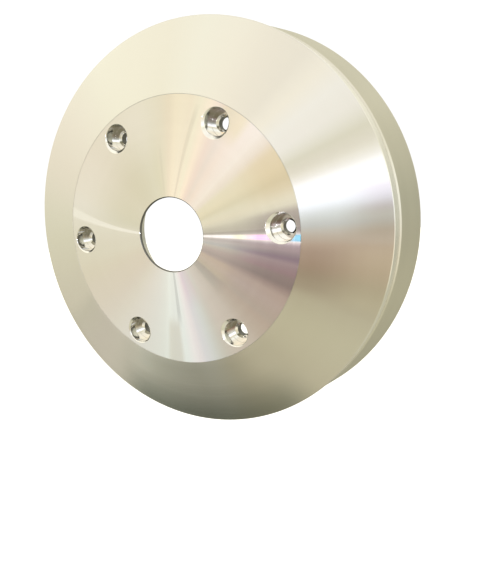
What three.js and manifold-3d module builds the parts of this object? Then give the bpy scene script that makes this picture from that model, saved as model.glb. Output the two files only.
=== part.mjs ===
// Turned aluminium cup-shaped wheel body, millimetres, +Z up.
// The wheel's axis is the Y axis. The small disc faces -Y, the open cup faces +Y.
// The origin is on the axis, in the plane of the seat on the back of the hub plate,
// where the wheel is screwed to a rotating flange.
import * as THREE from "three";
import { mergeVertices } from "three/addons/utils/BufferGeometryUtils.js";
import Module from "manifold-3d";

const wasm = await Module();
wasm.setup();

// ---- driving dimensions ----------------------------------------------------
const DISC_R = 73; // faced disc at the small end
const FACE_ANGLE = 5; // degrees; the disc's face rises forward towards the bore
const PLATE_T = 13; // hub plate at its edge, front to flange seat
const BORE_R = 20; // pilot bore, 40 mm
const BORE_EDGE = 0.5; // broken edge of the bore
const BORE_LIP = 1.5; // axial length of the pilot bore
const RECESS_R = 30; // relief behind the bore lip
const STEP_AT = 9; // depth of the plate's full-diameter part
const STEP_R = 69.5; // reduced rear part of the plate, behind its shoulder

const SCREWS = 6; // M6 socket-head screws with washers
const SCREW_PCD = 127.4;
const SCREW_HOLE_R = 3.3; // clearance hole for M6
const HOLE_LEAD = 1.2; // 45 degree lead-in where the hole meets the seat
const HEAD_R = 7; // counterbore for the head and its washer
const HEAD_DEPTH = 8.6; // from the face, at the screw circle
const HEAD_EDGE = 1; // chamfer at the counterbore mouth

const CONE_R = 115; // big end of the cone, and the land behind it
const CONE_DEPTH = 18.6; // axial length of the cone
const LAND_END = 30; // depth where the land meets the rim ring
const SPIGOT_R = 109; // spigot that carries the rim ring
const SPIGOT_END = 56;
const CUP_R = 100; // inside of the cup
const CUP_FLAT_R = 84; // flat annulus on the back of the web
const CUP_CONE_END = 26; // depth where the inner cone meets the cup's bore

const RING_EDGE_R = 115; // inner edge of the rim ring's front chamfer
const RING_FRONT_R = 115.8;
const RING_R = 120; // band, at the back
const RING_LIP_R = 101; // rim ring's in-turned lip over the spigot's end
const DEPTH = 65; // edge of the disc to rim face
const RING_BACK_EDGE = 0.5;

const GAP = 0.3; // running gap between neighbouring pieces
const SEAT = PLATE_T; // depth of the origin plane
const SEG = 96;
const HOLE_SEG = 24;

// ---- helpers ---------------------------------------------------------------
// Depth of the disc's face at a radius; 0 at its edge, negative towards the bore.
const face = (r) => -(DISC_R - r) * Math.tan((FACE_ANGLE * Math.PI) / 180);

// A closed profile of [radius, depth behind the disc's edge], turned about Y.
function turned(profile, segments) {
  const closed = profile[0][0] === 0 ? profile : [...profile, profile[0]];
  const points = closed.map(([r, d]) => new THREE.Vector2(r, d - SEAT));
  return new THREE.LatheGeometry(points, segments);
}

function solid(geometry) {
  const g = geometry.clone();
  g.deleteAttribute("normal");
  g.deleteAttribute("uv");
  const merged = mergeVertices(g, 1e-4);
  return new wasm.Manifold(
    new wasm.Mesh({
      numProp: 3,
      vertProperties: new Float32Array(merged.attributes.position.array),
      triVerts: new Uint32Array(merged.index.array),
    }),
  );
}

function geometryOf(manifold) {
  const m = manifold.getMesh();
  const g = new THREE.BufferGeometry();
  const out = new Float32Array(m.numVert * 3);
  for (let i = 0; i < m.numVert; i++)
    for (let k = 0; k < 3; k++)
      out[3 * i + k] = m.vertProperties[i * m.numProp + k];
  g.setAttribute("position", new THREE.BufferAttribute(out, 3));
  g.setIndex(new THREE.BufferAttribute(new Uint32Array(m.triVerts), 1));
  g.computeVertexNormals();
  return g;
}

const wheel = new THREE.Group();
function piece(name, geometry, material) {
  const mesh = new THREE.Mesh(geometry, new THREE.MeshStandardMaterial(material));
  mesh.name = name;
  wheel.add(mesh);
  return mesh;
}

// ---- hub plate -------------------------------------------------------------
// Disc with a slightly coned face, the pilot bore, a relief behind it, and a
// stepped edge that drops into the cone body from the front.
const plateBlank = turned(
  [
    [BORE_R, face(BORE_R) + BORE_LIP],
    [BORE_R, face(BORE_R) + BORE_EDGE],
    [BORE_R + BORE_EDGE, face(BORE_R + BORE_EDGE)],
    [DISC_R - 0.3, face(DISC_R - 0.3)],
    [DISC_R, 0.3],
    [DISC_R, STEP_AT],
    [STEP_R, STEP_AT],
    [STEP_R, PLATE_T],
    [RECESS_R, PLATE_T],
    [RECESS_R, face(BORE_R) + BORE_LIP],
  ],
  SEG,
);

// One counterbored screw hole: chamfered mouth, head pocket, lead-in and
// clearance hole.
const holeTool = turned(
  [
    [0, -2],
    [HEAD_R + HEAD_EDGE + 2, -2],
    [HEAD_R, HEAD_EDGE],
    [HEAD_R, HEAD_DEPTH],
    [SCREW_HOLE_R + HOLE_LEAD, HEAD_DEPTH],
    [SCREW_HOLE_R, HEAD_DEPTH + HOLE_LEAD],
    [SCREW_HOLE_R, PLATE_T + 2],
    [0, PLATE_T + 2],
  ],
  HOLE_SEG,
);

let plate = solid(plateBlank);
for (let i = 0; i < SCREWS; i++) {
  const a = (i * 2 * Math.PI) / SCREWS;
  const cut = holeTool
    .clone()
    .translate(
      (SCREW_PCD / 2) * Math.cos(a),
      face(SCREW_PCD / 2),
      (SCREW_PCD / 2) * Math.sin(a),
    );
  plate = plate.subtract(solid(cut));
}
piece("hub_plate", geometryOf(plate), {
  color: 0xddd8c8,
  roughness: 0.22,
  metalness: 1,
});

// ---- cone body -------------------------------------------------------------
// Conical flank, cylindrical land, spigot for the rim ring, hollow behind, and
// the shoulder that the hub plate seats on.
const slope = CONE_DEPTH / (CONE_R - DISC_R);
const noseR = DISC_R + GAP;
piece(
  "cone_body",
  turned(
    [
      [noseR, (noseR - DISC_R) * slope],
      [CONE_R - 0.4, (CONE_R - 0.4 - DISC_R) * slope],
      [CONE_R, CONE_DEPTH + 0.3],
      [CONE_R, LAND_END - 0.3],
      [CONE_R - 0.3, LAND_END],
      [SPIGOT_R, LAND_END],
      [SPIGOT_R, SPIGOT_END],
      [CUP_R, SPIGOT_END],
      [CUP_R, CUP_CONE_END],
      [CUP_FLAT_R, PLATE_T],
      [STEP_R + GAP, PLATE_T],
      [STEP_R + GAP, STEP_AT + GAP],
      [noseR, STEP_AT + GAP],
    ],
    SEG,
  ),
  { color: 0xd8d4c2, roughness: 0.35, metalness: 1 },
);

// ---- rim ring --------------------------------------------------------------
// Band round the big end, with a broken front edge, a slightly tapered outside
// and a lip that closes over the spigot's end. Its back face is the wheel's rim.
piece(
  "rim_ring",
  turned(
    [
      [SPIGOT_R + GAP, LAND_END + GAP],
      [RING_EDGE_R, LAND_END + GAP],
      [RING_FRONT_R, LAND_END + GAP + (RING_FRONT_R - RING_EDGE_R)],
      [RING_R, DEPTH - RING_BACK_EDGE],
      [RING_R - RING_BACK_EDGE, DEPTH],
      [RING_LIP_R, DEPTH],
      [RING_LIP_R, SPIGOT_END + GAP],
      [SPIGOT_R + GAP, SPIGOT_END + GAP],
    ],
    SEG,
  ),
  { color: 0xb8b49c, roughness: 0.42, metalness: 1 },
);

export default wheel;
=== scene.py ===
import math

import bpy
from mathutils import Matrix, Vector
from mathutils.geometry import delaunay_2d_cdt


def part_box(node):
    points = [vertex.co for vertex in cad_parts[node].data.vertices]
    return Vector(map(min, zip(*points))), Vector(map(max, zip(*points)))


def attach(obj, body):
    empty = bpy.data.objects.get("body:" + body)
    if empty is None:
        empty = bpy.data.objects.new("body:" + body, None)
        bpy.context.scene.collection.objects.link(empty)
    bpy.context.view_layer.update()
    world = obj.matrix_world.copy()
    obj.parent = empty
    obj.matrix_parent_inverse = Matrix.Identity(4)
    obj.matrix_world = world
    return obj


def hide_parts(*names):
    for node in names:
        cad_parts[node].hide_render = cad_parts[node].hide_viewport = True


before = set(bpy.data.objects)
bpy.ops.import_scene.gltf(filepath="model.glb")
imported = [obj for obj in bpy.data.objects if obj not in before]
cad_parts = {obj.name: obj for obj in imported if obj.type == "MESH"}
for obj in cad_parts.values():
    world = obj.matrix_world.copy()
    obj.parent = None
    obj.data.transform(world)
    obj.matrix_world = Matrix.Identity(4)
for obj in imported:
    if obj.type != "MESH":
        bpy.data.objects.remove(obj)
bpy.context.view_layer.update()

MM = 0.001
scene = bpy.context.scene

# ------------------------------------------------------------------ dimensions
# Depths run backwards from the edge of the disc, in millimetres, as in the CAD
# model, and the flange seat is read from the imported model.
PLATE_T = 13.0
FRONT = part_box("hub_plate")[1][1] - PLATE_T * MM  # y of the disc's edge, metres

DISC_R, FACE_ANGLE = 73.0, math.radians(5.0)
BORE_R, BORE_EDGE, BORE_LIP, RECESS_R = 20.0, 0.5, 1.5, 30.0
STEP_AT, STEP_R = 9.0, 69.5
SCREWS, PCD_R = 6, 63.7
SCREW_R, HOLE_LEAD, HEAD_R, HEAD_DEPTH, HEAD_EDGE = 3.3, 1.2, 7.0, 8.6, 1.0
CONE_R, CONE_D, LAND_END = 115.0, 18.6, 30.0
SPIGOT_R, SPIGOT_END = 109.0, 56.0
CUP_R, CUP_FLAT_R, CUP_CONE_END = 100.0, 84.0, 26.0
RING_EDGE_R, RING_FRONT_R, RING_R, RING_LIP_R = 115.0, 115.8, 120.0, 101.0
DEPTH, RING_BACK_EDGE, GAP = 65.0, 0.5, 0.3
SEAM = 0.08  # the pressed seam between the disc and the flank, as it shows

SEG = 720
HOLE_SEG = 96



def face(r):
    """Depth of the disc's face, which rises forward towards the bore."""
    return -(DISC_R - r) * math.tan(FACE_ANGLE)


# ------------------------------------------------------------------ mesh tools
def rounded(corners, closed=True, arc=5):
    """Corners [(r, depth, fillet)] -> profile points [(r, d, nr, nd)] with the
    outward normal of each, the fillets drawn as arcs that meet the flanks
    tangentially. The profile runs so that its left side is the metal."""
    n = len(corners)
    out = []
    for i, (r, d, f) in enumerate(corners):
        p = Vector((r, d))
        if not closed and i in (0, n - 1):
            q = Vector(corners[1 if i == 0 else n - 2][:2])
            t = (q - p).normalized() * (1 if i == 0 else -1)
            out.append((p.x, p.y, t.y, -t.x))
            continue
        a = Vector(corners[(i - 1) % n][:2])
        b = Vector(corners[(i + 1) % n][:2])
        ta, tb = (p - a).normalized(), (b - p).normalized()
        turn = ta.x * tb.y - ta.y * tb.x
        ang = math.atan2(turn, ta.dot(tb))
        na, nb = Vector((ta.y, -ta.x)), Vector((tb.y, -tb.x))
        if abs(ang) < 1e-4:
            out.append((p.x, p.y, na.x, na.y))
            continue
        f = min(f, 0.45 * min((p - a).length, (b - p).length) / math.tan(abs(ang) / 2))
        cut = f * math.tan(abs(ang) / 2)
        s = p - ta * cut
        side = 1.0 if ang > 0 else -1.0
        c = s - na * f * side
        k = max(2, int(math.ceil(arc * abs(ang) / (math.pi / 2))))
        for j in range(k + 1):
            w = na.copy()
            w.rotate(Matrix.Rotation(ang * j / k, 2))
            out.append(((c + w * f * side).x, (c + w * f * side).y, w.x, w.y))
    return out


class Build:
    """Vertices with exact normals, and faces."""

    def __init__(self):
        self.v, self.n, self.f, self.m = [], [], [], []

    def ring(self, r, d, nr, nd, seg, cx=0.0, cz=0.0):
        at = len(self.v)
        for i in range(seg):
            a = 2 * math.pi * i / seg
            c, s = math.cos(a), math.sin(a)
            self.v.append(((cx + r * c) * MM, FRONT + d * MM, (cz + r * s) * MM))
            self.n.append((nr * c, nd, nr * s))
        return at

    def revolve(self, prof, seg, cx=0.0, cz=0.0, closed=False, slot=None):
        rings = [self.ring(r, d, nr, nd, seg, cx, cz) for r, d, nr, nd in prof]
        pairs = list(zip(rings, rings[1:])) + ([(rings[-1], rings[0])] if closed else [])
        for k, (a, b) in enumerate(pairs):
            mid = (prof[k][0] + prof[(k + 1) % len(prof)][0]) / 2, (prof[k][1] + prof[(k + 1) % len(prof)][1]) / 2
            for i in range(seg):
                j = (i + 1) % seg
                self.f.append((a + i, b + i, b + j, a + j))
                self.m.append(slot(*mid) if slot else 0)
        return rings

    def cap(self, facing, outer, holes, extra=()):
        """A face between rings that already exist, each (first vertex,
        segments), through the loose vertices in extra."""
        pts, src, edges, loops = [], [], [], [outer, *holes]
        for first, seg in loops:
            at = len(pts)
            for i in range(seg):
                x, _, z = self.v[first + i]
                pts.append(Vector((x, z)))
                src.append(first + i)
                edges.append((at + i, at + (i + 1) % seg))
        for k in extra:
            pts.append(Vector((self.v[k][0], self.v[k][2])))
            src.append(k)
        vo, _, fo, ov, _, _ = delaunay_2d_cdt(pts, edges, [], 0, 1e-9)
        ids = []
        for k, v in enumerate(vo):
            ids.append(src[ov[k][0]] if ov[k] else None)
        centres = []
        for f, n in holes:
            hx = sum(self.v[f + i][0] for i in range(n)) / n
            hz = sum(self.v[f + i][2] for i in range(n)) / n
            hr = max(math.hypot(self.v[f + i][0] - hx, self.v[f + i][2] - hz) for i in range(n))
            centres.append((hx, hz, hr, set(range(f, f + n))))
        for tri in fo:
            p = [vo[k] for k in tri]
            c = sum(p, Vector((0, 0))) / len(p)
            # a triangle inside a hole has all its corners on that hole's edge
            if any(
                math.hypot(c.x - hx, c.y - hz) < hr and all(ids[k] in own for k in tri)
                for hx, hz, hr, own in centres
            ):
                continue
            idx = [ids[k] for k in tri]
            if None in idx:
                continue
            area = 0.0
            for k in range(len(p)):
                q = p[(k + 1) % len(p)]
                area += p[k].x * q.y - p[k].y * q.x
            # a counter-clockwise loop in (x, z) faces -Y
            if (area > 0) != (facing < 0):
                idx.reverse()
            self.f.append(tuple(idx))
            self.m.append(0)

    def mesh(self, name):
        me = bpy.data.meshes.new(name)
        me.from_pydata(self.v, [], self.f)
        me.update()
        for p, k in zip(me.polygons, self.m):
            p.use_smooth = True
            p.material_index = k
        me.normals_split_custom_set_from_vertices(self.n)
        ob = bpy.data.objects.new(name, me)
        scene.collection.objects.link(ob)
        return ob


def loft(name, corners, seg=SEG):
    b = Build()
    b.revolve(rounded(corners), seg, closed=True)
    return b.mesh(name)


# ------------------------------------------------------------------ node tools
class Nodes:
    def __init__(self, tree):
        self.t = tree
        self.x = 0

    def new(self, kind, **props):
        n = self.t.nodes.new(kind)
        self.x += 40
        n.location = (self.x, 0)
        for k, v in props.items():
            setattr(n, k, v)
        return n

    def put(self, socket, value):
        if isinstance(value, bpy.types.NodeSocket):
            self.t.links.new(value, socket)
        elif value is not None:
            socket.default_value = value

    def math(self, op, a, b=None, c=None, clamp=False):
        n = self.new("ShaderNodeMath", operation=op, use_clamp=clamp)
        for s, v in zip(n.inputs, (a, b, c)):
            self.put(s, v)
        return n.outputs[0]

    def vec(self, op, a, b=None, scale=None):
        n = self.new("ShaderNodeVectorMath", operation=op)
        self.put(n.inputs[0], a)
        if b is not None:
            self.put(n.inputs[1], b)
        if scale is not None:
            self.put(n.inputs["Scale"], scale)
        return n

    def noise(self, dims, w=None, vector=None, scale=1.0, detail=2.0, rough=0.5, distort=0.0):
        n = self.new("ShaderNodeTexNoise", noise_dimensions=dims)
        n.inputs["Scale"].default_value = scale
        n.inputs["Detail"].default_value = detail
        n.inputs["Roughness"].default_value = rough
        if "Distortion" in n.inputs:
            n.inputs["Distortion"].default_value = distort
        if w is not None:
            self.put(n.inputs["W"], w)
        if vector is not None:
            self.put(n.inputs["Vector"], vector)
        return n.outputs[0]

    def smooth(self, value, lo, hi, a=0.0, b=1.0):
        n = self.new("ShaderNodeMapRange", interpolation_type="SMOOTHSTEP", clamp=True)
        self.put(n.inputs["Value"], value)
        for k, v in (("From Min", lo), ("From Max", hi), ("To Min", a), ("To Max", b)):
            n.inputs[k].default_value = v
        return n.outputs[0]

    def band(self, value, lo, hi, soft):
        """1 between lo and hi, falling smoothly to 0 over soft outside."""
        up = self.smooth(value, lo - soft, lo)
        down = self.smooth(value, hi, hi + soft, 1.0, 0.0)
        return self.math("MULTIPLY", up, down)

    def ramp(self, fac, stops, mode="EASE"):
        n = self.new("ShaderNodeValToRGB")
        n.color_ramp.interpolation = mode
        els = n.color_ramp.elements
        while len(els) > 1:
            els.remove(els[-1])
        els[0].position = stops[0][0]
        els[0].color = (*stops[0][1], 1)
        for p, c in stops[1:]:
            e = els.new(p)
            e.color = (*c, 1)
        self.put(n.inputs["Fac"], fac)
        return n.outputs["Color"]

    def mix(self, fac, a, b, blend="MIX"):
        n = self.new("ShaderNodeMix", data_type="RGBA", blend_type=blend)
        n.clamp_factor = True
        self.put(n.inputs[0], fac)
        for s, v in ((n.inputs[6], a), (n.inputs[7], b)):
            if isinstance(v, tuple) and len(v) == 3:
                v = (*v, 1)
            self.put(s, v)
        return n.outputs[2]

    def scale_colour(self, colour, fac):
        n = self.new("ShaderNodeVectorMath", operation="SCALE")
        if isinstance(colour, tuple):
            n.inputs[0].default_value = colour
        else:
            self.put(n.inputs[0], colour)
        self.put(n.inputs["Scale"], fac)
        return n.outputs[0]

    def add_colour(self, a, b):
        return self.vec("ADD", a, b).outputs[0]


# ------------------------------------------------------------------ materials
def turned_metal(
    name,
    base,
    rough,
    aniso,
    pitch=0.16,
    depth=0.02,
    lines=0.1,
    coarse=0.25,
    smudge=0.05,
    along_axis=0.6,
    fan=None,
    fan_to=None,
    extra=None,
):
    """Lathe-turned aluminium. Everything follows the wheel's own axis, Y: fine
    circular tool marks in the bump, feed bands in roughness and tint, faint
    handling marks, and an anisotropic lobe across the marks."""
    m = bpy.data.materials.new(name)
    m.use_nodes = True
    m.node_tree.nodes.clear()
    n = Nodes(m.node_tree)
    out = n.new("ShaderNodeOutputMaterial")
    p = n.new("ShaderNodeBsdfPrincipled")
    n.t.links.new(p.outputs[0], out.inputs[0])
    p.inputs["Metallic"].default_value = 1.0
    p.inputs["Anisotropic"].default_value = aniso
    p.inputs["Anisotropic Rotation"].default_value = 0.25
    p.inputs["IOR"].default_value = 1.45
    tan = n.new("ShaderNodeTangent", direction_type="RADIAL", axis="Y")
    n.put(p.inputs["Tangent"], tan.outputs[0])

    tc = n.new("ShaderNodeTexCoord")
    mm = n.vec("SCALE", tc.outputs["Object"], scale=1000.0).outputs[0]
    sep = n.new("ShaderNodeSeparateXYZ")
    n.put(sep.inputs[0], mm)
    x, y, z = sep.outputs
    r = n.math("SQRT", n.math("ADD", n.math("MULTIPLY", x, x), n.math("MULTIPLY", z, z)))
    phi = n.math("ARCTAN2", z, x)  # radians, 0 on +X, pi/2 on +Z
    # feed coordinate: distance along the tool's path over face, cone or cylinder
    feed = n.math("ADD", r, n.math("MULTIPLY", y, along_axis))

    fine = n.noise("1D", w=feed, scale=1.0 / pitch, detail=1.5, rough=0.6)
    mid = n.noise("1D", w=feed, scale=1.0 / (pitch * 6), detail=2.0)
    slow = n.noise("1D", w=feed, scale=1.0 / (pitch * 45), detail=2.0)
    cloud = n.noise("3D", vector=mm, scale=0.022, detail=4.0, rough=0.55)
    wipe = n.noise(
        "3D",
        vector=n.vec("MULTIPLY", mm, (0.06, 0.02, 0.012)).outputs[0],
        scale=1.0,
        detail=5.0,
        rough=0.6,
        distort=0.4,
    )
    specks = n.noise("3D", vector=mm, scale=0.9, detail=2.0, rough=0.7)

    # roughness: feed bands, wiping marks, a few rubbed spots
    ro = n.math("ADD", rough, n.math("MULTIPLY", n.math("SUBTRACT", mid, 0.5), 0.10 * coarse * 4))
    ro = n.math("ADD", ro, n.math("MULTIPLY", n.math("SUBTRACT", slow, 0.5), 0.03))
    ro = n.math("ADD", ro, n.math("MULTIPLY", n.math("SUBTRACT", cloud, 0.5), smudge * 2))
    ro = n.math("ADD", ro, n.math("MULTIPLY", n.math("SUBTRACT", wipe, 0.5), smudge))
    ro = n.math("MAXIMUM", ro, 0.06)

    # tint: slow feed bands and a slight cloudiness of the oxide
    val = n.math("ADD", 0.99, n.math("MULTIPLY", n.math("SUBTRACT", slow, 0.5), 0.03))
    val = n.math("ADD", val, n.math("MULTIPLY", n.math("SUBTRACT", mid, 0.5), 0.05 * coarse * 4))
    val = n.math("ADD", val, n.math("MULTIPLY", n.math("SUBTRACT", cloud, 0.5), 0.02))
    val = n.math("SUBTRACT", val, n.smooth(specks, 0.70, 0.78, 0.0, 0.03))
    col = n.scale_colour(base, val)
    # fan paints light into the colour: fans of reflection laid on as a tint
    if fan:
        tinted = fan(n, col, r, phi)
        if fan_to is None:
            col = tinted
        else:  # only on what lies in front of this y, mm
            col = n.mix(n.smooth(y, fan_to, fan_to + 0.3, 1.0, 0.0), col, tinted)
    if extra:
        col, ro = extra(n, col, ro, r, y, phi)
    n.put(p.inputs["Base Color"], col)
    n.put(p.inputs["Roughness"], ro)

    h = n.math("MULTIPLY", fine, pitch * depth)
    h = n.math("ADD", h, n.math("MULTIPLY", mid, pitch * 6 * depth * lines))
    h = n.math("ADD", h, n.math("MULTIPLY", cloud, 0.004))
    bump = n.new("ShaderNodeBump")
    bump.inputs["Strength"].default_value = 1.0
    bump.inputs["Distance"].default_value = 0.001
    n.put(bump.inputs["Height"], h)
    n.put(p.inputs["Normal"], bump.outputs[0])
    return m


# Painted sheen of the facing cut, by the angle round the axis: degrees from +X towards +Z
# and a tint. The cut's fine marks open the reflection into fans, so the painted tint turns with the angle.
FAN_UPPER = [
    (0, (0.88, 0.88, 0.84)), (4, (0.94, 0.95, 0.92)), (8, (1.05, 1.06, 1.02)),
    (12, (1.08, 1.08, 1.03)), (16, (1.04, 1.03, 0.98)), (20, (0.98, 0.96, 0.88)),
    (25, (1.03, 1.01, 0.93)), (31, (1.02, 1.01, 0.95)), (35, (1.04, 1.04, 1.09)),
    (40, (1.09, 1.11, 1.20)), (45, (1.07, 1.07, 1.15)), (50, (1.04, 1.02, 1.08)),
    (55, (0.97, 0.97, 1.05)), (60, (1.02, 0.98, 1.06)), (65, (1.12, 1.11, 1.13)),
    (70, (1.05, 1.10, 1.09)), (74.5, (1.04, 1.04, 1.02)), (78, (1.06, 1.06, 1.03)),
    (82, (1.06, 1.05, 1.01)), (86, (1.00, 0.98, 0.95)), (91, (0.95, 0.96, 0.93)),
    (97, (0.93, 0.95, 0.92)), (105, (0.96, 0.97, 0.96)), (120, (1.00, 1.00, 1.00)),
    (140, (1.04, 1.03, 1.04)), (155, (1.01, 1.00, 0.98)), (165, (0.98, 0.98, 0.96)),
    (176, (0.98, 0.98, 0.97)), (180, (1.00, 1.00, 1.00)),
]
FAN_LOWER = [
    (180, (1.00, 1.00, 1.00)), (190, (1.02, 1.03, 1.04)), (205, (1.01, 0.99, 1.01)),
    (213, (1.00, 0.97, 0.97)), (220, (0.99, 0.96, 0.96)), (227, (1.00, 0.99, 0.98)),
    (238, (1.03, 1.03, 1.05)), (250, (1.05, 1.08, 1.11)), (256, (1.07, 1.12, 1.14)),
    (260, (1.12, 1.19, 1.21)), (263.5, (1.08, 1.14, 1.16)), (266.5, (1.09, 1.15, 1.17)),
    (270, (1.10, 1.16, 1.19)), (274, (1.16, 1.14, 1.19)), (277, (1.10, 1.05, 1.12)),
    (280, (0.99, 0.98, 1.06)), (285, (0.96, 1.00, 1.03)), (290, (1.00, 1.04, 1.05)),
    (297, (1.07, 1.08, 1.10)), (304, (1.06, 1.08, 1.10)), (310, (1.00, 1.00, 1.00)),
    (316, (0.98, 0.95, 0.95)), (320, (1.03, 0.95, 0.95)), (325, (1.11, 1.01, 1.04)),
    (330, (1.12, 1.00, 1.00)), (335, (0.96, 0.83, 0.81)), (340, (1.08, 0.92, 0.89)),
    (345, (1.16, 1.08, 1.02)), (350, (1.14, 1.08, 1.02)), (354, (1.05, 1.00, 0.95)),
    (357.5, (0.86, 0.84, 0.80)), (360, (0.88, 0.88, 0.84)),
]
# Where a fan changes from the bore to the edge of the disc: first and last angle,
# softness, first and last radius, tint at the first and at the last radius.
FAN_SPREAD = [
    (100, 160, 16, 28, 68, (0.94, 0.94, 0.89), (1.09, 1.09, 1.16)),
    (336, 346, 7, 28, 58, (0.97, 1.10, 1.16), (0.68, 0.76, 0.82)),
    (347, 352, 3, 30, 60, (0.90, 0.93, 1.00), (0.74, 0.70, 0.80)),
    (359, 360, 3, 36, 64, (1.00, 1.00, 1.00), (0.70, 0.66, 0.71)),
    (0, 6, 4, 36, 64, (1.00, 1.00, 1.00), (0.70, 0.66, 0.71)),
    (261, 266, 3, 44, 54, (1.00, 1.00, 1.00), (0.88, 0.84, 0.80)),
    (319, 330, 4, 32, 48, (1.04, 1.10, 1.02), (0.94, 1.00, 1.01)),
    (49, 57, 5, 54, 66, (1.00, 1.00, 1.00), (0.95, 0.95, 0.82)),
    (310, 315, 4, 32, 44, (0.89, 0.92, 0.93), (1.00, 1.00, 0.99)),
    (341, 346, 3, 36, 50, (1.00, 1.00, 1.00), (1.03, 0.93, 1.02)),
    (280, 288, 5, 30, 44, (1.02, 0.94, 0.98), (1.00, 1.02, 1.02)),
    (17, 31, 6, 40, 66, (1.00, 1.03, 1.04), (0.97, 0.94, 0.88)),
]


# The same painted sheen for the cone, whose coarser cut gives softer fans; radii are the cone's.
FLANK_UPPER = [
    (0, (0.94, 1.00, 1.06)), (3, (1.00, 1.06, 1.10)), (6, (1.04, 1.08, 1.12)),
    (12, (1.02, 1.02, 1.02)), (18, (1.15, 1.16, 1.21)), (21, (1.03, 1.03, 1.04)),
    (24, (0.93, 0.93, 0.88)), (30, (1.03, 1.03, 1.05)), (36, (1.05, 1.07, 1.11)),
    (42, (1.05, 1.05, 1.03)), (48, (0.98, 0.98, 0.97)), (60, (1.00, 1.00, 1.00)),
    (78, (1.02, 1.04, 1.05)), (90, (1.02, 1.02, 1.01)), (102, (1.05, 1.05, 1.05)),
    (120, (1.07, 1.08, 1.08)), (140, (1.08, 1.08, 1.09)), (160, (1.10, 1.10, 1.11)),
    (180, (1.09, 1.09, 1.08)),
]
FLANK_LOWER = [
    (180, (1.09, 1.09, 1.08)), (195, (1.11, 1.10, 1.13)), (204, (1.14, 1.13, 1.15)),
    (210, (1.05, 1.05, 1.06)), (222, (1.06, 1.04, 1.08)), (232, (1.09, 1.08, 1.11)),
    (242, (1.06, 1.06, 1.07)), (252, (1.00, 1.00, 1.00)), (300, (1.00, 1.00, 1.00)),
    (324, (1.03, 1.04, 1.03)), (332, (1.03, 1.03, 1.03)), (337, (0.99, 0.96, 0.96)),
    (342, (0.93, 0.90, 0.88)), (348, (0.97, 0.94, 0.91)), (353, (0.95, 0.89, 0.82)),
    (357, (0.95, 0.94, 0.92)), (360, (0.94, 1.00, 1.06)),
]
FLANK_SPREAD = [
    (247, 296, 14, 84, 114, (1.16, 1.16, 1.18), (0.62, 0.66, 0.66)),
    (338, 350, 5, 80, 106, (0.90, 0.88, 0.88), (1.08, 1.10, 1.08)),
    (358, 360, 4, 86, 110, (1.02, 1.02, 1.02), (0.86, 0.80, 0.74)),
    (0, 2, 4, 86, 110, (1.02, 1.02, 1.02), (0.86, 0.80, 0.74)),
    (4, 8, 3, 90, 112, (1.00, 1.00, 1.00), (0.90, 0.84, 0.88)),
]


def sheen(n, r, phi, upper, lower, spread):
    """Painted sheen: tint by angle, changed with the radius inside each fan."""
    turn = n.math("FRACT", n.math("ADD", n.math("DIVIDE", phi, 2 * math.pi), 1.0))
    deg = n.math("MULTIPLY", turn, 360.0)  # 0 on +X, 90 on +Z
    half = n.math("DIVIDE", deg, 180.0)
    top = n.ramp(half, [(d / 180, c) for d, c in upper], "LINEAR")
    low = n.ramp(n.math("SUBTRACT", half, 1.0), [((d - 180) / 180, c) for d, c in lower], "LINEAR")
    tint = n.mix(n.math("GREATER_THAN", deg, 180.0), top, low)
    for a0, a1, soft, r0, r1, first, last in spread:
        shade = n.mix(n.smooth(r, r0, r1), first, last)
        tint = n.mix(n.band(deg, a0, a1, soft), tint, n.mix(1.0, tint, shade, "MULTIPLY"))
    return deg, tint


# painted reflection: the cone's fans of sheen painted into its colour
def flank_painted_reflection(n, col, r, phi):
    _, tint = sheen(n, r, phi, FLANK_UPPER, FLANK_LOWER, FLANK_SPREAD)
    return n.mix(1.0, col, tint, "MULTIPLY")


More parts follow.
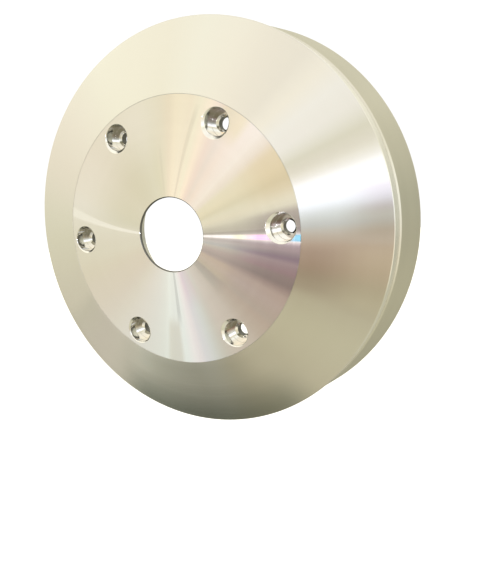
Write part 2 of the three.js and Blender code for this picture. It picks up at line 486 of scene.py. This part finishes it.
def disc_painted_reflection(n, col, r, phi):
    """The facing cut's sheen, painted into the colour: pastel fans of painted reflection
    round the bore, strongest where the fine marks are closest, and two narrow rays of painted highlight where they
    catch the light."""
    deg, tint = sheen(n, r, phi, FAN_UPPER, FAN_LOWER, FAN_SPREAD)

    # the thin dark lines above and below the bore: painted dark reflections
    for at, lean, wide, soft, r0, r1, depth in (
        (268.0, 0.0, 0.8, 1.4, 12, 42, 0.80),
        (75.3, -0.10, 0.5, 1.4, 12, 60, 0.90),
        (93.0, 0.0, 0.3, 1.5, 12, 40, 0.96),
    ):
        centre = n.math("ADD", at, n.math("MULTIPLY", n.math("SUBTRACT", r, 26.0), lean))
        off = n.math("ABSOLUTE", n.math("SUBTRACT", deg, centre))
        m = n.math("MULTIPLY", n.smooth(off, wide, wide + soft, 1.0, 0.0), n.band(r, r0, r1, 12.0))
        tint = n.mix(m, tint, n.scale_colour(tint, depth))

    # right ray, painted highlight over the lamp's real one: its hue runs from white at the bore to magenta and
    # cyan outside
    off = n.math("ABSOLUTE", n.math("SUBTRACT", deg, 355.6))
    flank = n.math("MULTIPLY", n.smooth(off, 1.0, 2.0), n.smooth(off, 3.0, 6.0, 1.0, 0.0))
    tint = n.mix(flank, tint, n.scale_colour(tint, 0.80))
    hue = n.ramp(
        n.math("DIVIDE", r, 80.0),
        [
            (0.25, (1.16, 1.16, 1.20)), (0.44, (1.16, 1.16, 1.16)), (0.51, (1.14, 1.15, 0.92)),
            (0.575, (1.12, 0.84, 0.92)), (0.64, (1.08, 0.64, 0.98)), (0.72, (0.74, 0.56, 0.72)),
            (0.82, (0.34, 0.46, 0.58)), (0.90, (0.20, 0.44, 0.58)),
        ],
        "EASE",
    )
    tint = n.mix(n.smooth(off, 0.9, 2.0, 1.0, 0.0), tint, hue)

    # left ray, a painted highlight: paler, a little curved
    centre = n.math("SUBTRACT", 171.3, n.math("MULTIPLY", n.math("SUBTRACT", r, 40.0), 0.15))
    off = n.math("ABSOLUTE", n.math("SUBTRACT", deg, centre))
    off = n.math("MULTIPLY", off, n.smooth(r, 40.0, 72.0, 1.0, 0.72))
    m = n.smooth(off, 0.8, 2.4, 1.0, 0.0)
    tint = n.mix(m, tint, (1.15, 1.16, 1.21))
    return n.mix(1.0, col, tint, "MULTIPLY")


disc_metal = turned_metal(
    "faced_aluminium",
    base=(0.86, 0.85, 0.825),
    rough=0.17,
    aniso=1.0,
    pitch=0.16,
    depth=0.004,
    lines=0.4,
    coarse=0.05,
    smudge=0.012,
    along_axis=0.0,
    fan=disc_painted_reflection,
    fan_to=FRONT * 1000 + 0.3,
)


def cone_extra(n, col, ro, r, y, phi):
    """Behind the cone's edge the land is turned brighter and finer; the inside
    of the cup is left as rough turned."""
    d = n.math("SUBTRACT", y, FRONT * 1000)
    land = n.math(
        "MULTIPLY",
        n.smooth(r, CONE_R - 0.6, CONE_R - 0.2),
        n.smooth(d, CONE_D - 0.2, CONE_D + 0.1),
    )
    col = n.mix(land, col, (0.99, 0.98, 0.94))
    ro = n.mix(land, ro, (0.22, 0.22, 0.22))
    # inside the cup: behind the flank by more than the flank's own height
    line = n.math("ADD", n.math("MULTIPLY", n.math("SUBTRACT", r, DISC_R), CONE_D / (CONE_R - DISC_R)), 3.0)
    inside = n.math(
        "MULTIPLY", n.smooth(n.math("SUBTRACT", d, line), 0.0, 1.0), n.smooth(r, SPIGOT_R - 1.0, SPIGOT_R - 0.6, 1.0, 0.0)
    )
    col = n.mix(inside, col, (0.74, 0.73, 0.69))
    ro = n.math("ADD", ro, n.math("MULTIPLY", inside, 0.12))
    return col, ro


cone_metal = turned_metal(
    "satin_aluminium",
    base=(0.86, 0.85, 0.825),
    rough=0.25,
    aniso=0.97,
    pitch=0.20,
    depth=0.007,
    lines=0.3,
    coarse=0.08,
    smudge=0.015,
    along_axis=0.443,
    fan=flank_painted_reflection,
    extra=cone_extra,
)


def ring_extra(n, col, ro, r, y, phi):
    """The broken front edge is bright; the band behind it is duller."""
    d = n.math("SUBTRACT", y, FRONT * 1000)
    edge = n.smooth(d, LAND_END + GAP + 0.9, LAND_END + GAP + 1.1, 1.0, 0.0)
    col = n.mix(edge, col, (0.84, 0.82, 0.74))
    return col, ro


ring_metal = turned_metal(
    "rim_aluminium",
    base=(0.74, 0.72, 0.62),
    rough=0.36,
    aniso=0.5,
    pitch=0.22,
    depth=0.02,
    lines=0.3,
    coarse=0.15,
    smudge=0.05,
    along_axis=1.0,
    extra=ring_extra,
)


def bored_metal(name, base, rough, pitch, screws=False):
    """Drilled or bored aluminium: brighter and smoother than the turned faces,
    with the tool's rings along the hole's depth."""
    m = bpy.data.materials.new(name)
    m.use_nodes = True
    m.node_tree.nodes.clear()
    n = Nodes(m.node_tree)
    out = n.new("ShaderNodeOutputMaterial")
    p = n.new("ShaderNodeBsdfPrincipled")
    n.t.links.new(p.outputs[0], out.inputs[0])
    p.inputs["Metallic"].default_value = 1.0
    p.inputs["IOR"].default_value = 1.45
    tc = n.new("ShaderNodeTexCoord")
    mm = n.vec("SCALE", tc.outputs["Object"], scale=1000.0).outputs[0]
    sep = n.new("ShaderNodeSeparateXYZ")
    n.put(sep.inputs[0], mm)
    rings = n.noise("1D", w=sep.outputs[1], scale=1.0 / pitch, detail=2.0)
    cloud = n.noise("3D", vector=mm, scale=0.35, detail=3.0)
    ro = n.math("ADD", rough, n.math("MULTIPLY", n.math("SUBTRACT", rings, 0.5), 0.10))
    ro = n.math("ADD", ro, n.math("MULTIPLY", n.math("SUBTRACT", cloud, 0.5), 0.08))
    val = n.math("ADD", 0.97, n.math("MULTIPLY", n.math("SUBTRACT", rings, 0.5), 0.10))
    val = n.math("ADD", val, n.math("MULTIPLY", n.math("SUBTRACT", cloud, 0.5), 0.06))
    if screws:
        # painted shade: the upper part of each counterbore is painted darker, where shade falls in the pocket
        phi = n.math("ARCTAN2", sep.outputs[2], sep.outputs[0])
        step = 2 * math.pi / SCREWS
        near = n.math("MULTIPLY", n.math("ROUND", n.math("DIVIDE", phi, step)), step)
        lx = n.math("SUBTRACT", sep.outputs[0], n.math("MULTIPLY", n.math("COSINE", near), PCD_R))
        lz = n.math("SUBTRACT", sep.outputs[2], n.math("MULTIPLY", n.math("SINE", near), PCD_R))
        lr = n.math("SQRT", n.math("ADD", n.math("MULTIPLY", lx, lx), n.math("MULTIPLY", lz, lz)))
        lip = n.smooth(lr, HEAD_R + 0.05, HEAD_R + 0.15)
        pocket_painted_shade = n.smooth(n.math("ADD", lz, n.math("MULTIPLY", lx, -0.35)), 1.6, 4.2, 0.0, 1.0)
        pocket_painted_shade = n.math("MULTIPLY", pocket_painted_shade, n.math("SUBTRACT", 1.0, lip))
        val = n.math("MULTIPLY", val, n.math("SUBTRACT", 1.0, n.math("MULTIPLY", pocket_painted_shade, 0.38)))
        ro = n.math("ADD", ro, n.math("MULTIPLY", pocket_painted_shade, 0.06))
        ro = n.math("ADD", ro, n.math("MULTIPLY", lip, 0.10))
        val = n.math("ADD", val, n.math("MULTIPLY", lip, 0.07))
    n.put(p.inputs["Base Color"], n.scale_colour(base, val))
    n.put(p.inputs["Roughness"], n.math("MAXIMUM", ro, 0.05))
    bump = n.new("ShaderNodeBump")
    bump.inputs["Strength"].default_value = 1.0
    bump.inputs["Distance"].default_value = 0.001
    n.put(bump.inputs["Height"], n.math("MULTIPLY", rings, pitch * 0.03))
    n.put(p.inputs["Normal"], bump.outputs[0])
    return m


pocket_metal = bored_metal("counterbored_aluminium", (0.97, 0.96, 0.93), 0.09, 0.35, screws=True)
# the bore's and the through-holes' walls: a near-black base colour, painted shade inside the holes
bore_shade_metal = bored_metal("bored_aluminium", (0.20, 0.20, 0.195), 0.38, 0.30)

# ------------------------------------------------------------------ hub plate
b = Build()
edge = 0.12  # broken corners left by the tool, mm
SLOPE_N = (math.sin(FACE_ANGLE), -math.cos(FACE_ANGLE))
outer = rounded(
    [
        (40.0, face(40.0), 0),
        (DISC_R - 0.1, face(DISC_R - 0.1), 0.06),
        (DISC_R, 0.1, 0.06),
        (DISC_R, STEP_AT, 0.2),
        (STEP_R, STEP_AT, 0.3),
        (STEP_R, PLATE_T, 0.3),
        (40.0, PLATE_T, 0),
    ],
    closed=False,
)[1:-1]
inner = rounded(
    [
        (40.0, PLATE_T, 0),
        (RECESS_R, PLATE_T, 0.3),
        (RECESS_R, face(BORE_R) + BORE_LIP, 0.5),
        (BORE_R, face(BORE_R) + BORE_LIP, 0.2),
        (BORE_R, face(BORE_R) + BORE_EDGE, edge),
        (BORE_R + BORE_EDGE, face(BORE_R + BORE_EDGE), edge),
        (40.0, face(40.0), 0),
    ],
    closed=False,
)[1:-1]
o = b.revolve(outer, SEG)
i_ = b.revolve(
    inner, SEG // 2, slot=lambda r, d: 2 if r < BORE_R + 0.3 and d < face(BORE_R) + BORE_LIP else 0
)
front_holes, back_holes, mouths = [], [], []
AT = face(PCD_R)  # the counterbores are measured from the face at the screw circle
pocket = rounded(
    [
        (SCREW_R + 4.0, PLATE_T, 0),
        (SCREW_R, PLATE_T, 0.2),
        (SCREW_R, AT + HEAD_DEPTH + HOLE_LEAD, 0.15),
        (SCREW_R + HOLE_LEAD, AT + HEAD_DEPTH, 0.1),
        (HEAD_R, AT + HEAD_DEPTH, 0.15),
        (HEAD_R, AT + HEAD_EDGE, edge),
        (HEAD_R + HEAD_EDGE, AT, 0),
    ],
    closed=False,
)[1:-1]
for k in range(SCREWS):
    a = 2 * math.pi * k / SCREWS
    cx, cz = PCD_R * math.cos(a), PCD_R * math.sin(a)
    rings = b.revolve(pocket, HOLE_SEG, cx, cz, slot=lambda r, d: 2 if r < SCREW_R + 0.1 else 1)
    # the mouth: where the 45 degree chamfer runs out on the coned face
    chamfer, rim = [], []
    for i in range(HOLE_SEG):
        q = 2 * math.pi * i / HOLE_SEG
        c, sn = math.cos(q), math.sin(q)
        rho = HEAD_R + HEAD_EDGE
        for _ in range(6):
            rr = math.hypot(cx + rho * c, cz + rho * sn)
            rho = HEAD_R + HEAD_EDGE - (face(rr) - AT)
        lo, hi = rho - 0.08, rho + 0.08
        chamfer.append((lo, AT + HEAD_R + HEAD_EDGE - lo, c, sn))
        rim.append((hi, c, sn))
    first = len(b.v)
    for lo, d, c, sn in chamfer:
        b.v.append(((cx + lo * c) * MM, FRONT + d * MM, (cz + lo * sn) * MM))
        b.n.append((-0.7071 * c, -0.7071, -0.7071 * sn))
    second = len(b.v)
    for hi, c, sn in rim:
        x, z = cx + hi * c, cz + hi * sn
        rr = math.hypot(x, z)
        b.v.append((x * MM, FRONT + face(rr) * MM, z * MM))
        b.n.append((SLOPE_N[0] * x / rr, SLOPE_N[1], SLOPE_N[0] * z / rr))
    for p0, p1 in ((rings[-1], first), (first, second)):
        for i in range(HOLE_SEG):
            j = (i + 1) % HOLE_SEG
            b.f.append((p0 + i, p1 + i, p1 + j, p0 + j))
            b.m.append(1)
    back_holes.append((rings[0], HOLE_SEG))
    front_holes.append((second, HOLE_SEG))
    mouths.append((cx, cz, max(h for h, _, _ in rim)))
# loose points that keep the wide front face on its cone
loose = []
for step in range(1, 18):
    r = BORE_R + BORE_EDGE + 3.0 * step
    if r > DISC_R - 1.0:
        break
    for i in range(180):
        q = 2 * math.pi * (i + 0.5 * (step % 2)) / 180
        x, z = r * math.cos(q), r * math.sin(q)
        if any(math.hypot(x - hx, z - hz) < hr + 0.7 for hx, hz, hr in mouths):
            continue
        loose.append(len(b.v))
        b.v.append((x * MM, FRONT + face(r) * MM, z * MM))
        b.n.append((SLOPE_N[0] * x / r, SLOPE_N[1], SLOPE_N[0] * z / r))
b.cap(-1, (o[0], SEG), [(i_[-1], SEG // 2), *front_holes], loose)
b.cap(1, (o[-1], SEG), [(i_[0], SEG // 2), *back_holes])
hub = b.mesh("hub_plate_fine")

cone = loft(
    "cone_body_fine",
    [
        (DISC_R + SEAM, SEAM * CONE_D / (CONE_R - DISC_R), 0.06),
        (CONE_R - 0.4, (CONE_R - 0.4 - DISC_R) * CONE_D / (CONE_R - DISC_R), 0.25),
        (CONE_R, CONE_D + 0.3, 0.25),
        (CONE_R, LAND_END - 0.3, 0.15),
        (CONE_R - 0.3, LAND_END, 0.15),
        (SPIGOT_R, LAND_END, 0.3),
        (SPIGOT_R, SPIGOT_END, 0.4),
        (CUP_R, SPIGOT_END, 0.3),
        (CUP_R, CUP_CONE_END, 4.0),
        (CUP_FLAT_R, PLATE_T, 3.0),
        (STEP_R + GAP, PLATE_T, 0.2),
        (STEP_R + GAP, STEP_AT + GAP, 0.2),
        (DISC_R + SEAM, STEP_AT + GAP, 0.2),
    ],
)
ring = loft(
    "rim_ring_fine",
    [
        (SPIGOT_R + GAP, LAND_END + GAP, 0.2),
        (RING_EDGE_R, LAND_END + GAP, 0.12),
        (RING_FRONT_R, LAND_END + GAP + RING_FRONT_R - RING_EDGE_R, 0.2),
        (RING_R, DEPTH - RING_BACK_EDGE, 0.3),
        (RING_R - RING_BACK_EDGE, DEPTH, 0.3),
        (RING_LIP_R, DEPTH, 0.4),
        (RING_LIP_R, SPIGOT_END + GAP, 0.3),
        (SPIGOT_R + GAP, SPIGOT_END + GAP, 0.3),
    ],
)
for ob, mat, node, slot in (
    (hub, disc_metal, "hub_plate", "faced_aluminium"),
    (cone, cone_metal, "cone_body", "satin_aluminium"),
    (ring, ring_metal, "rim_ring", "rim_aluminium"),
):
    ob.data.materials.append(mat)
    if ob is hub:
        ob.data.materials.append(pocket_metal)
        ob.data.materials.append(bore_shade_metal)
    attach(ob, "root")
    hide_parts(node)

# ------------------------------------------------------------------ camera
cam = bpy.data.cameras.new("camera")
cam.sensor_fit = "VERTICAL"
cam.sensor_height = 36.0
cam.lens = 546.6 / 583.0 * 36.0
cam.clip_start = 0.01
cam.clip_end = 100
cam_ob = bpy.data.objects.new("camera", cam)
scene.collection.objects.link(cam_ob)
RIGHT = Vector((0.89787, 0.43183, -0.08571)).normalized()
BACK = Vector((0.44024, -0.88233, 0.16636)).normalized()
UP = BACK.cross(RIGHT).normalized()
RIGHT = UP.cross(BACK).normalized()
cam_ob.matrix_world = Matrix(
    (
        (RIGHT.x, UP.x, BACK.x, 0.16835),
        (RIGHT.y, UP.y, BACK.y, -0.26525),
        (RIGHT.z, UP.z, BACK.z, 0.01544),
        (0, 0, 0, 1),
    )
)
scene.camera = cam_ob
scene.view_settings.view_transform = "Standard"
scene.view_settings.look = "None"

# ------------------------------------------------------------------ studio
world = bpy.data.worlds.new("studio")
scene.world = world
world.use_nodes = True
world.node_tree.nodes.clear()
w = Nodes(world.node_tree)
wo = w.new("ShaderNodeOutputWorld")
bg = w.new("ShaderNodeBackground")
w.t.links.new(bg.outputs[0], wo.inputs[0])
wtc = w.new("ShaderNodeTexCoord")
ws = w.new("ShaderNodeSeparateXYZ")
w.put(ws.inputs[0], wtc.outputs["Generated"])
dx, dy, dz = ws.outputs
az = w.math("MULTIPLY", w.math("ARCTAN2", dx, w.math("MULTIPLY", dy, -1.0)), 180 / math.pi)
el = w.math("MULTIPLY", w.math("ARCSINE", dz), 180 / math.pi)
t = w.math("DIVIDE", w.math("ADD", el, 90.0), 180.0)


def E(e):
    return (e + 90.0) / 180.0


def sky(rows):
    """One meridian of the studio: colours from the floor up to the ceiling."""
    return w.ramp(t, [(E(e), c) for e, c in rows], "LINEAR")


# Five meridians of a softly lit room, by azimuth (0 in front of the disc, + to
# the right): pale wall and ceiling above, duller floor below, dark low on the left.
MERIDIANS = [
    (-85, [
        (-75, (0.08, 0.08, 0.07)), (-55, (0.04, 0.04, 0.03)), (-42, (0.19, 0.18, 0.11)), (-30, (0.52, 0.47, 0.33)),
        (-18, (0.55, 0.51, 0.36)), (-8, (0.69, 0.66, 0.46)), (2, (0.81, 0.78, 0.57)), (12, (0.99, 0.91, 0.72)),
        (24, (1.14, 1.06, 0.87)), (36, (1.21, 1.16, 0.95)), (55, (1.15, 1.10, 0.92)), (78, (1.07, 1.03, 0.89)),
    ]),
    (-50, [
        (-75, (0.13, 0.13, 0.08)), (-55, (0.14, 0.13, 0.06)), (-42, (0.41, 0.41, 0.29)), (-30, (0.78, 0.82, 0.69)),
        (-18, (0.92, 0.90, 0.78)), (-8, (0.84, 0.76, 0.54)), (2, (0.93, 0.89, 0.71)), (12, (0.78, 0.71, 0.48)),
        (24, (0.83, 0.79, 0.54)), (36, (1.05, 1.00, 0.75)), (55, (1.13, 1.08, 0.88)), (78, (1.07, 1.03, 0.88)),
    ]),
    (-20, [
        (-75, (0.33, 0.31, 0.21)), (-55, (0.35, 0.32, 0.19)), (-42, (0.51, 0.45, 0.30)), (-30, (0.65, 0.56, 0.42)),
        (-18, (0.55, 0.41, 0.34)), (-8, (0.72, 0.62, 0.51)), (2, (0.92, 0.84, 0.61)), (12, (1.04, 0.89, 0.71)),
        (24, (1.08, 0.94, 0.70)), (36, (1.11, 1.02, 0.80)), (55, (1.14, 1.08, 0.88)), (78, (1.07, 1.03, 0.89)),
    ]),
    (10, [
        (-75, (0.54, 0.51, 0.37)), (-55, (0.57, 0.52, 0.34)), (-42, (0.59, 0.54, 0.34)), (-30, (0.49, 0.43, 0.26)),
        (-18, (0.33, 0.25, 0.13)), (-8, (0.60, 0.53, 0.46)), (2, (0.70, 0.64, 0.55)), (12, (0.80, 0.71, 0.52)),
        (24, (0.92, 0.85, 0.67)), (36, (1.06, 1.00, 0.85)), (55, (1.04, 0.98, 0.82)), (78, (1.00, 0.96, 0.83)),
    ]),
    (40, [
        (-75, (0.65, 0.61, 0.47)), (-55, (0.67, 0.64, 0.47)), (-42, (0.66, 0.63, 0.45)), (-30, (0.55, 0.52, 0.36)),
        (-18, (0.57, 0.49, 0.31)), (-8, (0.62, 0.57, 0.44)), (2, (0.74, 0.77, 0.72)), (12, (0.84, 0.83, 0.71)),
        (24, (0.84, 0.81, 0.62)), (36, (0.99, 0.95, 0.81)), (55, (1.02, 0.98, 0.87)), (78, (0.96, 0.92, 0.82)),
    ]),
]
env = sky(MERIDIANS[0][1])
for (a0, _), (a1, rows) in zip(MERIDIANS, MERIDIANS[1:]):
    f = w.new("ShaderNodeMapRange", interpolation_type="LINEAR", clamp=True)
    w.put(f.inputs["Value"], az)
    f.inputs["From Min"].default_value = a0
    f.inputs["From Max"].default_value = a1
    env = w.mix(f.outputs[0], env, sky(rows))


def glow_patch(az0, az1, soft_az, mid_el, height, soft_el, slope=0.0):
    """1 inside a soft-edged patch whose middle climbs by slope with azimuth."""
    mid = w.math("ADD", mid_el, w.math("MULTIPLY", w.math("SUBTRACT", az, (az0 + az1) / 2), slope))
    return w.math(
        "MULTIPLY",
        w.band(az, az0, az1, soft_az),
        w.band(w.math("SUBTRACT", el, mid), -height / 2, height / 2, soft_el),
    )


PATCHES = [
    # window to the right, seen in the flank as the white wedge
    ((0.66, 0.70, 0.87), (10, 46, 9, 8.5, 9, 2.5, 0.22)),
    # narrow bright doorway to the left, and the warmest part of it
    ((0.16, 0.21, 0.25), (-38.5, -31, 3, -16, 52, 8)),
    ((0.16, -0.01, -0.13), (-34, -29, 4, 3.5, 7, 5)),
    # darker furniture low in front
    ((-0.16, -0.06, -0.06), (-25, -12, 6, -8, 8, 6)),
    ((-0.04, -0.12, -0.06), (-22, 26, 9, -11, 8, 5, -0.14)),
    # pale wall over it
    ((0.23, 0.30, 0.41), (-15, 20, 12, 22, 3, 6, 0.1)),
    # pale wall far to the right, seen in the chamfers of the screw holes
    ((0.40, 0.40, 0.38), (58, 105, 8, -4, 40, 12)),
]
for colour, shape in PATCHES:
    env = w.add_colour(env, w.scale_colour(colour, glow_patch(*shape)))
env = w.vec("MAXIMUM", env, (0.0, 0.0, 0.0)).outputs[0]
env = w.vec("MULTIPLY", env, (0.97, 0.975, 1.0)).outputs[0]

back = w.ramp(
    t,
    [
        (E(-60), (0.27, 0.26, 0.20)),
        (E(-22), (0.56, 0.54, 0.415)),
        (E(-8), (0.46, 0.445, 0.345)),
        (E(2), (0.47, 0.465, 0.36)),
        (E(12), (0.59, 0.57, 0.45)),
        (E(25), (0.68, 0.66, 0.53)),
        (E(60), (0.86, 0.83, 0.70)),
    ],
    "LINEAR",
)
absaz = w.math("ABSOLUTE", az)
env = w.mix(w.smooth(absaz, 100.0, 138.0), env, back)
# a bright window frame far behind, seen only in the land behind the cone's edge
glow = w.math("MULTIPLY", w.smooth(absaz, 163.0, 170.0), w.band(el, -2.0, 20.0, 8.0))
env = w.add_colour(env, w.scale_colour((0.45, 0.43, 0.38), glow))
w.put(bg.inputs["Color"], env)
bg.inputs["Strength"].default_value = 1.0


def area(name, where, look_at, size_x, size_y, power, colour, spread=180):
    li = bpy.data.lights.new(name, "AREA")
    li.shape = "RECTANGLE"
    li.size, li.size_y = size_x, size_y
    li.energy = power
    li.color = colour
    li.spread = math.radians(spread)
    ob = bpy.data.objects.new(name, li)
    scene.collection.objects.link(ob)
    ob.location = where
    d = (Vector(look_at) - Vector(where)).normalized()
    ob.rotation_euler = d.to_track_quat("-Z", "Y").to_euler()
    return ob


def polar(azimuth, elevation, dist, about=(0, 0, 0)):
    a, e = math.radians(azimuth), math.radians(elevation)
    return Vector(about) + dist * Vector((math.sin(a) * math.cos(e), -math.cos(a) * math.cos(e), math.sin(e)))


# a long thin lamp low in front, for the disc only: the fine circular marks draw
# it out into a narrow ray on each side of the bore
lamp = area("lamp", polar(14.5, -7.0, 1.6), (0, 0, 0), 0.10, 0.012, 4.2, (0.95, 0.98, 1.06))
lit = bpy.data.collections.new("disc_lamp_receivers")
lit.objects.link(hub)
lamp.light_linking.receiver_collection = lit

# ------------------------------------------------------------------ floor, backdrop


def stage_plane(name, z, size):
    me = bpy.data.meshes.new(name)
    k = 24
    vs, fs = [], []
    for i in range(k + 1):
        for j in range(k + 1):
            vs.append(((i / k - 0.5) * size, (j / k - 0.5) * size, z))
    for i in range(k):
        for j in range(k):
            a = i * (k + 1) + j
            fs.append((a, a + k + 1, a + k + 2, a + 1))
    me.from_pydata(vs, [], fs)
    ob = bpy.data.objects.new(name, me)
    scene.collection.objects.link(ob)
    return ob


floor = stage_plane("floor", -0.30, 8.0)
fm = bpy.data.materials.new("floor_paper")
fm.use_nodes = True
fm.node_tree.nodes.clear()
g = Nodes(fm.node_tree)
go = g.new("ShaderNodeOutputMaterial")
gd = g.new("ShaderNodeBsdfDiffuse")
gd.inputs["Color"].default_value = (0.86, 0.86, 0.85, 1)
ge = g.new("ShaderNodeEmission")
ge.inputs["Color"].default_value = (1, 1, 0.995, 1)
ge.inputs["Strength"].default_value = 0.62
ga = g.new("ShaderNodeAddShader")
g.t.links.new(gd.outputs[0], ga.inputs[0])
g.t.links.new(ge.outputs[0], ga.inputs[1])
g.t.links.new(ga.outputs[0], go.inputs[0])
floor.data.materials.append(fm)
floor.visible_glossy = False
floor.visible_diffuse = False
floor.visible_shadow = False

me = bpy.data.meshes.new("backdrop")
vs, fs = [], []
NU, NV, RAD = 48, 24, 5.0
for j in range(NV + 1):
    e = math.pi * (j / NV - 0.5)
    for i in range(NU):
        a = 2 * math.pi * i / NU
        vs.append((RAD * math.cos(e) * math.cos(a), RAD * math.cos(e) * math.sin(a), RAD * math.sin(e)))
for j in range(NV):
    for i in range(NU):
        k = (i + 1) % NU
        fs.append((j * NU + i, j * NU + k, (j + 1) * NU + k, (j + 1) * NU + i))
me.from_pydata(vs, [], fs)
dome = bpy.data.objects.new("backdrop", me)
scene.collection.objects.link(dome)
dm = bpy.data.materials.new("backdrop_white")
dm.use_nodes = True
dm.node_tree.nodes.clear()
h = Nodes(dm.node_tree)
ho = h.new("ShaderNodeOutputMaterial")
he = h.new("ShaderNodeEmission")
he.inputs["Color"].default_value = (1, 1, 1, 1)
he.inputs["Strength"].default_value = 1.05
h.t.links.new(he.outputs[0], ho.inputs[0])
dome.data.materials.append(dm)
dome.visible_glossy = False
dome.visible_diffuse = False
dome.visible_transmission = False
dome.visible_shadow = False
